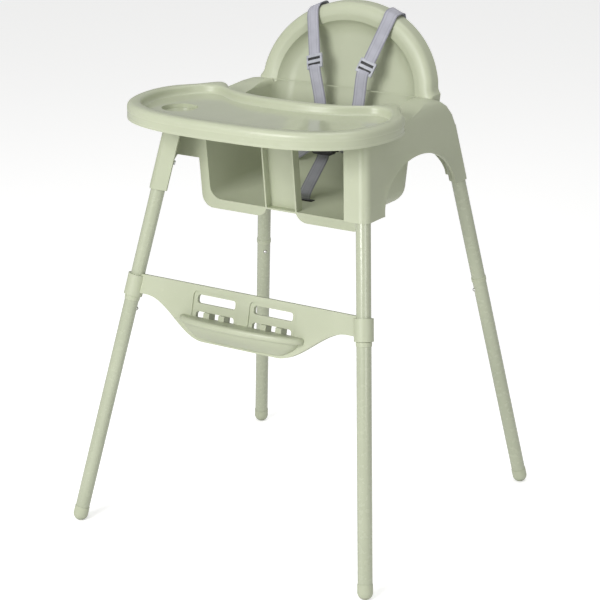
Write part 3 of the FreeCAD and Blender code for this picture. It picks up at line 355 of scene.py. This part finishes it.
# %% Dress the carried parts
finish_rules = (
    ("seat_shell", shell_plastic, "green_plastic"),
    ("tray", tray_plastic, "green_plastic"),
    ("footrest", rest_plastic, "green_plastic"),
    ("leg_ring", ring_plastic, "green_plastic"),
    ("foot_cap", foot_plastic, "green_plastic"),
    ("upper_leg", tube_coat, "painted_tube"),
    ("lower_leg", tube_coat, "painted_tube"),
    ("leg_sleeve", zinc, "bare_steel"),
    ("snap_spring", zinc, "bare_steel"),
    ("socket_screws", zinc, "bare_steel"),
    ("snap_button", pin_steel, "button_steel"),
)
dressed = 0
for name, node in nodes.items():
    for start, material, slot_name in finish_rules:
        if name.startswith(start):
            node.data.materials.clear()
            node.data.materials.append(material)
            dressed += 1
print("carried parts with a finish:", dressed)

# %% [markdown]
# ### One smooth skin for the shell and the tray
#
# A carried part arrives as loose triangles, and its long curved faces show the flat strips they were cut
# into. A mould has no such strips: the steel was polished. So the shell and the tray are copied, the
# copies' triangles are sewn together, and the light is smoothed over every edge that turns by less
# than 34 degrees. Real corners stay sharp, and no point moves by more than a hundredth of a millimetre.

# %% Sew and smooth a copy
SMOOTH_UNDER = math.radians(34)
SEW_WITHIN = 0.00001


def smooth_skin(node_name, piece_name, slot_name):
    """A sewn, smoothly lit copy that stands for a carried part."""
    deselect_everything()
    source = nodes[node_name]
    source.select_set(True)
    bpy.context.view_layer.objects.active = source
    bpy.ops.object.duplicate()
    skin = bpy.context.active_object
    skin.name = piece_name
    skin.data.name = piece_name
    for key in list(skin.keys()):
        del skin[key]
    bpy.ops.object.mode_set(mode="EDIT")
    bpy.ops.mesh.customdata_custom_splitnormals_clear()
    bpy.ops.mesh.select_all(action="SELECT")
    bpy.ops.mesh.remove_doubles(threshold=SEW_WITHIN)
    bpy.ops.object.mode_set(mode="OBJECT")
    bpy.ops.object.shade_smooth_by_angle(angle=SMOOTH_UNDER)
    return skin


moulded_shell = smooth_skin("seat_shell", "moulded_shell", "green_plastic")
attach(moulded_shell, "root")
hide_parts("seat_shell")
moulded_tray = smooth_skin("tray", "moulded_tray", "green_plastic")
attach(moulded_tray, "tray_body")
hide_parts("tray")
print("triangles in the shell:", len(moulded_shell.data.polygons))
print("triangles in the tray:", len(moulded_tray.data.polygons))

# %% [markdown]
# ## The harness webbing
#
# Webbing is a flat band, woven so tight that it bends along its length and hardly across it. A cloth
# simulation would crumple it like a scarf. The band is drawn instead by its two edges: a single point is
# extruded from station to station down one edge, again down the other, and the two chains are
# bridged into a strip. A Solidify modifier then gives the 1.4 mm of thickness.
#
# The weave needs to follow the band wherever it goes, so the strip gets its own UV map in real
# metres: one direction runs across the band and the other along it.

# %% Webbing material
def webbing_material():
    """Plain weave with dense edges, two dark lines of painted fold shade, and rows of stitching near the
    anchored end.
    """
    material, tree, shader, place = start_material("webbing")
    uv = tree.nodes.new("ShaderNodeUVMap")
    uv.uv_map = "band"
    split = tree.nodes.new("ShaderNodeSeparateXYZ")
    tree.links.new(uv.outputs["UV"], split.inputs["Vector"])
    across, along = split.outputs["X"], split.outputs["Y"]
    warp = combine(tree, "SINE", combine(tree, "MULTIPLY", across, 5200.0), 0.0)
    weft = combine(tree, "SINE", combine(tree, "MULTIPLY", along, 3900.0), 0.0)
    weave = combine(tree, "MULTIPLY", warp, weft)
    from_middle = combine(tree, "ABSOLUTE", combine(tree, "SUBTRACT", across, 0.012), 0.0)
    edge = spread(tree, from_middle, 0.0093, 0.0104, 0.0, 1.0)
    # Painted shade: two dark lines 5.8 mm either side of the middle stand for the crease of a lengthwise
    # fold in the band.
    from_fold_line = combine(tree, "ABSOLUTE", combine(tree, "SUBTRACT", from_middle, 0.0058), 0.0)
    fold_shade = spread(tree, from_fold_line, 0.0003, 0.0011, 1.0, 0.0)
    shade = spread(tree, noise(tree, place, 55.0, 4.0), 0.3, 0.7, 0.0, 1.0)
    colour = mix_colours(tree, shade, (0.42, 0.42, 0.475, 1), (0.36, 0.36, 0.41, 1))
    dark = (0.20, 0.20, 0.24, 1)
    colour = mix_colours(tree, combine(tree, "MULTIPLY", edge, 0.75), colour, dark)
    colour = mix_colours(tree, combine(tree, "MULTIPLY", fold_shade, 0.28), colour, dark)
    colour = mix_colours(tree, spread(tree, weave, -1.0, 0.2, 0.22, 0.0), colour, dark)
    rows = None
    for row in (0.006, 0.010, 0.020):
        off = combine(tree, "ABSOLUTE", combine(tree, "SUBTRACT", along, row), 0.0)
        line = combine(tree, "LESS_THAN", off, 0.0005)
        rows = line if rows is None else combine(tree, "MAXIMUM", rows, line)
    pitch = combine(tree, "SINE", combine(tree, "MULTIPLY", across, 2600.0), 0.0)
    dash = combine(tree, "GREATER_THAN", pitch, -0.2)
    stitch = combine(tree, "MULTIPLY", rows, dash)
    colour = mix_colours(tree, stitch, colour, (0.62, 0.62, 0.66, 1))
    tree.links.new(colour, shader.inputs["Base Color"])
    tree.links.new(spread(tree, weave, -1.0, 1.0, 0.92, 0.74), shader.inputs["Roughness"])
    shader.inputs["Sheen Weight"].default_value = 0.25
    shader.inputs["Sheen Roughness"].default_value = 0.5
    cloth = bump(tree, weave, 0.55, 0.00022)
    tree.links.new(bump(tree, stitch, 0.6, 0.0005, cloth), shader.inputs["Normal"])
    return material


webbing = webbing_material()
print("made", webbing.name)

# %% Draw a band by its two edges
BAND_WIDTH = 0.024
BAND_THICK = 0.0014
ROUTE_STEPS = 5
MM = 0.001


def set_modifiers(piece, recipe):
    """Adds modifiers in turn and applies each one."""
    for kind, settings in recipe:
        modifier = piece.modifiers.new(kind.title(), kind)
        for setting, value in settings.items():
            setattr(modifier, setting, value)
        bpy.ops.object.modifier_apply(modifier=modifier.name)


def smooth_route(route):
    """Stations on a smooth line through the route's points, each with the band's direction across."""
    points = [Vector(place) * MM for place, _ in route]
    sides = [Vector(a).normalized() for _, a in route]
    stations = []
    for i in range(len(points) - 1):
        before = points[max(i - 1, 0)]
        after = points[min(i + 2, len(points) - 1)]
        for step in range(ROUTE_STEPS):
            t = step / ROUTE_STEPS
            a = 2 * points[i]
            b = points[i + 1] - before
            c = 2 * before - 5 * points[i] + 4 * points[i + 1] - after
            d = 3 * points[i] - before - 3 * points[i + 1] + after
            at = (a + b * t + c * t ** 2 + d * t ** 3) / 2
            stations.append((at, sides[i].lerp(sides[i + 1], t)))
    stations.append((points[-1], sides[-1]))
    squared = []
    for i, (at, side) in enumerate(stations):
        run = (stations[min(i + 1, len(stations) - 1)][0] - stations[max(i - 1, 0)][0]).normalized()
        squared.append((at, (side - run * side.dot(run)).normalized()))
    return squared


def one_point(at):
    """In edit mode, adds a tiny plane and collapses it to a single selected point."""
    bpy.ops.mesh.select_all(action="DESELECT")
    bpy.ops.mesh.primitive_plane_add(size=0.001, location=at)
    bpy.ops.mesh.merge(type="CENTER")


def draw_band(name, route, body, stands_for):
    """A length of webbing along a route, as a thin closed strip with its own UV map."""
    stations = smooth_route(route)
    edges = [[at + side * sign * BAND_WIDTH / 2 for at, side in stations] for sign in (-1, 1)]
    deselect_everything()
    bpy.ops.mesh.primitive_plane_add(size=0.001, location=edges[0][0])
    band = bpy.context.active_object
    band.name = name
    band.data.name = name
    bpy.ops.object.transform_apply(location=True, rotation=True, scale=True)
    bpy.ops.object.mode_set(mode="EDIT")
    bpy.ops.mesh.delete(type="VERT")
    for edge in edges:
        one_point(edge[0])
        for here, there in zip(edge, edge[1:]):
            bpy.ops.mesh.extrude_region_move(TRANSFORM_OT_translate={"value": there - here})
    bpy.ops.mesh.select_all(action="SELECT")
    bpy.ops.mesh.bridge_edge_loops()
    bpy.ops.mesh.normals_make_consistent(inside=False)
    bpy.ops.object.mode_set(mode="OBJECT")
    lay_uv(band, stations)
    deselect_everything()
    band.select_set(True)
    bpy.context.view_layer.objects.active = band
    set_modifiers(band, [
        ("SOLIDIFY", {"thickness": BAND_THICK, "offset": 0.0}),
        ("BEVEL", {"width": 0.0004, "segments": 2, "limit_method": "ANGLE"}),
    ])
    bpy.ops.object.shade_smooth_by_angle(angle=math.radians(40))
    band.data.materials.append(webbing)
    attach(band, body)
    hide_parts(stands_for)
    return band


def lay_uv(band, stations):
    """UV in metres: across the band from its edge, and along it from its first station."""
    lengths = [0.0]
    for (here, _), (there, _) in zip(stations, stations[1:]):
        lengths.append(lengths[-1] + (there - here).length)
    layer = band.data.uv_layers.new(name="band")
    for loop in band.data.loops:
        at = band.data.vertices[loop.vertex_index].co
        nearest = min(range(len(stations)), key=lambda i: (stations[i][0] - at).length_squared)
        centre, side = stations[nearest]
        layer.data[loop.index].uv = ((at - centre).dot(side) + BAND_WIDTH / 2, lengths[nearest])


def mirror_route(route):
    """The same route on the child's other side."""
    return [((-x, y, z), (-a, b, c)) for (x, y, z), (a, b, c) in route]


# %% [markdown]
# The shoulder band starts at its plate behind the back, climbs over the rim, and comes down the dish to
# the buckle. The waist band comes in through a slot at the side of the tub's rear wall. The crotch band
# leans back from the seat's slot.
#
# The stations are set near the line of the carried strap, and the curve through them strays
# from it by up to 2.7 mm. The adjuster's channel has only a third of a millimetre to spare on each face,
# so there the band cuts into the adjuster. Sampling the carried strap itself would be the better way.

# %% The five bands
# Each station is a place in millimetres and the direction across the band there.
shoulder_route = [
    ((79, 176, 792), (1, 0, 0)),
    ((79, 176, 814), (1, 0, 0)),
    ((79, 181.5, 858.6), (1, 0, 0)),
    ((79, 181.5, 876.6), (1, 0, -0.43)),
    ((79, 176.5, 885.3), (1, 0, -0.43)),
    ((79, 159.5, 885.3), (1, 0, -0.43)),
    ((78.4, 150.5, 881.9), (1, 0, -0.43)),
    ((77, 142.0, 870.6), (1, 0, -0.3)),
    ((65, 126.0, 831.8), (1, 0, -0.3)),
    ((53, 110, 793), (1, 0, -0.3)),
    ((48.3, 103.2, 778.1), (1, 0, -0.2)),
    ((38.6, 106, 719.5), (1, 0, -0.1)),
    ((33, 91, 694), (1, 0.1, 0)),
    ((27, 77, 677), (1, 0.2, 0)),
]
waist_route = [
    ((92, 130.8, 622), (0, 0, 1)),
    ((92, 102.8, 622), (0, 0, 1)),
    ((70, 84.8, 632), (0, 0.2, 1)),
    ((40, 77, 652), (0, 0.3, 1)),
    ((32, 64, 660), (0, 0.3, 1)),
]
crotch_route = [
    ((0, -8, 558), (1, 0, 0)),
    ((0, -8, 578), (1, 0, 0)),
    ((0, -3, 588), (1, 0, 0)),
    ((0, 23, 611), (1, 0, 0)),
    ((0, 49, 633), (1, 0, 0)),
    ((0, 55, 640.7), (1, 0, 0)),
]
for side, turn in (("left", list), ("right", mirror_route)):
    draw_band("shoulder_band_" + side, turn(shoulder_route), "root", "shoulder_strap_" + side)
    draw_band("waist_band_" + side, turn(waist_route), "root", "waist_strap_" + side)
crotch_band = draw_band("crotch_band", crotch_route, "root", "crotch_strap")
print("faces in the crotch band:", len(crotch_band.data.polygons))

# %% [markdown]
# ## Moulded fittings
#
# The adjusters, plates and buckle are acetal, a hard slippery plastic. It is matt from the mould's
# texture and gets shiny where thumbs and webbing rub it. One recipe makes both its colours: the grey of
# the adjusters and the black of everything at the buckle.

# %% Acetal
def acetal(name, colour, worn):
    """Hard moulded plastic with a fine texture that wears to a shine."""
    material, tree, shader, place = start_material(name)
    patch = spread(tree, noise(tree, place, 160.0, 4.0), 0.42, 0.66, 0.0, 1.0)
    tree.links.new(mix_colours(tree, patch, colour, worn), shader.inputs["Base Color"])
    tree.links.new(spread(tree, patch, 0.0, 1.0, 0.52, 0.34), shader.inputs["Roughness"])
    tree.links.new(bump(tree, noise(tree, place, 2600.0, 2.0), 0.35, 0.00008), shader.inputs["Normal"])
    return material


grey_acetal = acetal("grey_acetal", (0.36, 0.37, 0.41, 1), (0.42, 0.43, 0.47, 1))
# This black is the real colour of the buckle fittings and slot frame, and painted shade on the adjusters'
# slot plates.
black_acetal_and_slot_shade = acetal("black_acetal_and_slot_shade", (0.018, 0.018, 0.019, 1), (0.030, 0.030, 0.031, 1))
fittings = (
    "shoulder_strap_anchor",
    "waist_strap_plate",
    "crotch_strap_plate",
    "buckle_tongue",
    "buckle_body",
    "buckle_button",
)
for name, node in nodes.items():
    if name.startswith(fittings):
        node.data.materials.clear()
        node.data.materials.append(black_acetal_and_slot_shade)
print("made", grey_acetal.name, "and", black_acetal_and_slot_shade.name)

# %% [markdown]
# ### The strap adjusters
#
# An adjuster is a hard frame that the band threads through. Its carried shape already has the bars and
# the channel, so it stays and only gets its grey. Behind the bars goes a thin black toothed plate: a dark
# sheet that paints the shade in the two slots where the band runs behind the frame. The plate starts as
# a grid, and every second row of it is pushed back, which makes the teeth. It is sunk partly into the
# bars, so the two overlap.

# %% Model the slot shade plates
SLOT_SHADE_WIDTH = 0.0262
SLOT_SHADE_LENGTH = 0.0212
SLOT_SHADE_RISE = 0.00125
TOOTH_DEPTH = 0.0003
TOOTH_ROWS = 14
SLOT_SHADE_THICK = 0.0004


def slot_shade_plate(side):
    """A toothed black plate just in front of the band, turned to lie along it; its black is painted shade
    in the adjuster's slots.
    """
    deselect_everything()
    bpy.ops.mesh.primitive_grid_add(x_subdivisions=1, y_subdivisions=TOOTH_ROWS, size=1)
    plate = bpy.context.active_object
    plate.name = "adjuster_slot_shade_" + side
    plate.data.name = plate.name
    bpy.ops.transform.resize(value=(SLOT_SHADE_WIDTH, SLOT_SHADE_LENGTH, 1))
    bpy.ops.object.transform_apply(location=True, rotation=True, scale=True)
    bpy.ops.object.mode_set(mode="EDIT")
    bpy.ops.mesh.select_all(action="DESELECT")
    sheet = bmesh.from_edit_mesh(plate.data)
    row_height = SLOT_SHADE_LENGTH / TOOTH_ROWS
    for vertex in sheet.verts:
        vertex.select = round((vertex.co.y + SLOT_SHADE_LENGTH / 2) / row_height) % 2 == 1
    sheet.select_flush(True)
    bmesh.update_edit_mesh(plate.data)
    bpy.ops.transform.translate(value=(0, 0, TOOTH_DEPTH))
    bpy.ops.object.mode_set(mode="OBJECT")
    set_modifiers(plate, [("SOLIDIFY", {"thickness": SLOT_SHADE_THICK, "offset": 1.0})])
    sign = 1 if side == "left" else -1
    along = Vector((sign * 24.0, 32.0, 77.6)).normalized()
    across = Vector((1, 0, -0.3 * sign))
    across = (across - along * across.dot(along)).normalized()
    face = across.cross(along)
    low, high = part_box("shoulder_adjuster_" + side)
    turn = Matrix((across, along, face)).transposed().to_4x4()
    plate.matrix_world = Matrix.Translation((low + high) / 2 + face * SLOT_SHADE_RISE) @ turn
    bpy.ops.object.transform_apply(location=True, rotation=True, scale=True)
    # The plate's black is painted shade: it stands for the shadow in the adjuster's two slots.
    plate.data.materials.append(black_acetal_and_slot_shade)
    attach(plate, "adjuster_" + side + "_body")
    return plate


for side in ("left", "right"):
    adjuster = nodes["shoulder_adjuster_" + side]
    adjuster.data.materials.clear()
    adjuster.data.materials.append(grey_acetal)
    slot_shade = slot_shade_plate(side)
print("faces in a grip plate:", len(slot_shade.data.polygons))

# %% [markdown]
# ### The slot frame
#
# Where the crotch band comes up through the seat floor, a thin black frame protects it from the cut edge.
# It is one plane, inset once. The middle face is deleted for the slot and the rest is thickened.

# %% Model the slot frame
CROTCH_SLOT_Y = -0.008
SEAT_FLOOR_Z = 0.57305
SLOT_FRAME_SIZE = (0.036, 0.012, 1)
SLOT_FRAME_RIM = 0.0042
SLOT_FRAME_THICK = 0.0014

deselect_everything()
bpy.ops.mesh.primitive_plane_add(size=1)
slot_frame = bpy.context.active_object
slot_frame.name = "crotch_slot_frame"
slot_frame.data.name = slot_frame.name
bpy.ops.transform.resize(value=SLOT_FRAME_SIZE)
bpy.ops.object.transform_apply(location=True, rotation=True, scale=True)
bpy.ops.object.mode_set(mode="EDIT")
bpy.ops.mesh.select_all(action="SELECT")
bpy.ops.mesh.inset(thickness=SLOT_FRAME_RIM)
bpy.ops.mesh.delete(type="FACE")
bpy.ops.object.mode_set(mode="OBJECT")
set_modifiers(slot_frame, [
    ("SOLIDIFY", {"thickness": SLOT_FRAME_THICK, "offset": 1.0}),
    ("BEVEL", {"width": 0.0005, "segments": 3, "limit_method": "ANGLE"}),
])
slot_frame.location = (0, CROTCH_SLOT_Y, SEAT_FLOOR_Z)
bpy.ops.object.transform_apply(location=True, rotation=True, scale=True)
slot_frame.data.materials.append(black_acetal_and_slot_shade)
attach(slot_frame, "root")
print("slot frame faces:", len(slot_frame.data.polygons))
